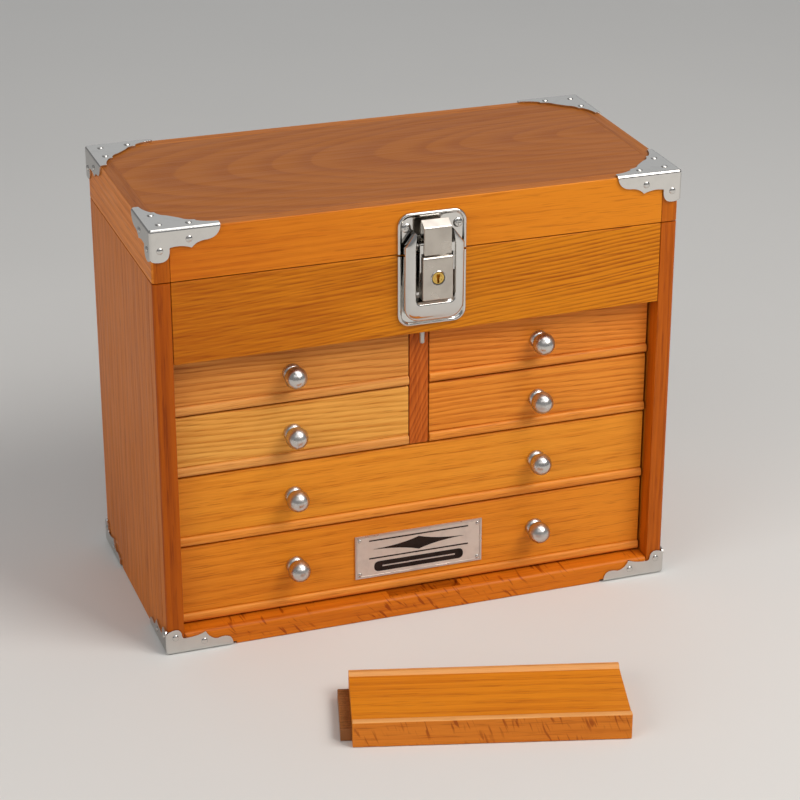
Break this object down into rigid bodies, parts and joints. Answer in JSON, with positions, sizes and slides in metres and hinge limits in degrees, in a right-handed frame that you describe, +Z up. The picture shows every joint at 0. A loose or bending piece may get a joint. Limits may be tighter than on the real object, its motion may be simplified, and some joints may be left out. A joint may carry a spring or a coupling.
{
  "type": "six-drawer hobby chest",
  "caption": "Small oak chest with a hinged lid over a till, a keyed draw latch, nickel corner brackets, recessed drawers with ball knobs, and a loose locking bar.",
  "frame": {"origin": "middle of the chest's underside, on the surface it stands on", "axes": "+Z up, -Y the way the drawers face and pull out, +X to the viewer's right"},
  "size_m": [0.3444, 0.3601, 0.2852],
  "materials": {
    "oak_case": "glossy lacquered oak",
    "oak_drawer": "glossy lacquered oak, lighter",
    "oak_inside": "plain sanded oak, lined with green felt",
    "nickel": "polished nickel plate",
    "pewter": "satin pewter",
    "brass": "polished"
  },
  "bodies": {
    "case": {"left_side": "oak_case", "right_side": "oak_case", "base_board": "oak_inside", "bottom_rail": "oak_case", "back_panel": "oak_case", "upper_front_panel": "oak_case", "till_floor": "oak_inside", "centre_divider": "oak_case", "runner_board_lower": "oak_inside", "runner_board_middle": "oak_inside", "runner_board_left": "oak_inside", "runner_board_right": "oak_inside", "base_bracket_front_left": "nickel", "base_bracket_front_right": "nickel", "base_bracket_rear_left": "nickel", "base_bracket_rear_right": "nickel", "hinge_leaf_case": "nickel", "hinge_pin": "nickel", "latch_base_plate": "nickel", "latch_shroud": "nickel"},
    "lid": {"lid_left": "oak_case", "lid_right": "oak_case", "lid_front": "oak_case", "lid_back": "oak_case", "lid_top": "oak_case", "lid_bracket_front_left": "nickel", "lid_bracket_front_right": "nickel", "lid_bracket_rear_left": "nickel", "lid_bracket_rear_right": "nickel", "hinge_leaf_lid": "nickel", "latch_catch_plate": "nickel"},
    "bottom_drawer": {"bottom_drawer_front": "oak_drawer", "bottom_drawer_tray": "oak_inside", "bottom_drawer_knob_left": "nickel", "bottom_drawer_knob_right": "nickel", "nameplate": "pewter"},
    "lower_drawer": {"lower_drawer_front": "oak_drawer", "lower_drawer_tray": "oak_inside", "lower_drawer_knob_left": "nickel", "lower_drawer_knob_right": "nickel"},
    "middle_left_drawer": {"middle_left_drawer_front": "oak_drawer", "middle_left_drawer_tray": "oak_inside", "middle_left_drawer_knob": "nickel"},
    "middle_right_drawer": {"middle_right_drawer_front": "oak_drawer", "middle_right_drawer_tray": "oak_inside", "middle_right_drawer_knob": "nickel"},
    "top_left_drawer": {"top_left_drawer_front": "oak_drawer", "top_left_drawer_tray": "oak_inside", "top_left_drawer_knob": "nickel"},
    "top_right_drawer": {"top_right_drawer_front": "oak_drawer", "top_right_drawer_tray": "oak_inside", "top_right_drawer_knob": "nickel"},
    "latch_lever": {"latch_lever": "nickel"},
    "latch_hook": {"latch_hook": "nickel"},
    "lock_cylinder": {"lock_cylinder": "brass"},
    "lock_pin": {"lock_pin": "nickel"},
    "lock_bar": {"lock_bar": "oak_case"}
  },
  "joints": [
    {"name": "lid_hinge", "type": "hinge", "parent": "case", "child": "lid", "pos_m": [0, 0.0865, 0.25], "axis": [-1, 0, 0], "range_deg": [0, 100]},
    {"name": "bottom_drawer_slide", "type": "slide", "parent": "case", "child": "bottom_drawer", "axis": [0, -1, 0], "range_m": [0, 0.09]},
    {"name": "lower_drawer_slide", "type": "slide", "parent": "case", "child": "lower_drawer", "axis": [0, -1, 0], "range_m": [0, 0.09]},
    {"name": "middle_left_drawer_slide", "type": "slide", "parent": "case", "child": "middle_left_drawer", "axis": [0, -1, 0], "range_m": [0, 0.09]},
    {"name": "middle_right_drawer_slide", "type": "slide", "parent": "case", "child": "middle_right_drawer", "axis": [0, -1, 0], "range_m": [0, 0.09]},
    {"name": "top_left_drawer_slide", "type": "slide", "parent": "case", "child": "top_left_drawer", "axis": [0, -1, 0], "range_m": [0, 0.09]},
    {"name": "top_right_drawer_slide", "type": "slide", "parent": "case", "child": "top_right_drawer", "axis": [0, -1, 0], "range_m": [0, 0.09]},
    {"name": "latch_lever_hinge", "type": "hinge", "parent": "case", "child": "latch_lever", "pos_m": [0.005, -0.0926, 0.247], "axis": [-1, 0, 0], "range_deg": [0, 90]},
    {"name": "latch_hook_hinge", "type": "hinge", "parent": "latch_lever", "child": "latch_hook", "pos_m": [0.005, -0.093, 0.2425], "axis": [-1, 0, 0], "range_deg": [-92, 0]},
    {"name": "lock_cylinder_turn", "type": "hinge", "parent": "latch_lever", "child": "lock_cylinder", "pos_m": [0.005, -0.0966, 0.2368], "axis": [0, 1, 0], "range_deg": [0, 90]},
    {"name": "lock_pin_slide", "type": "slide", "parent": "case", "child": "lock_pin", "axis": [0, 0, 1], "range_m": [0, 0.0085]},
    {"name": "lock_bar_slide", "type": "slide", "parent": "case", "child": "lock_bar", "axis": [0, -1, 0], "range_m": [0, 0.06]}
  ],
  "couplings": [
    {"joint": "latch_hook_hinge", "follows": "latch_lever_hinge", "ratio": -1},
    {"joint": "lock_pin_slide", "follows": "lid_hinge", "m_per_rad": 0.0046}
  ]
}
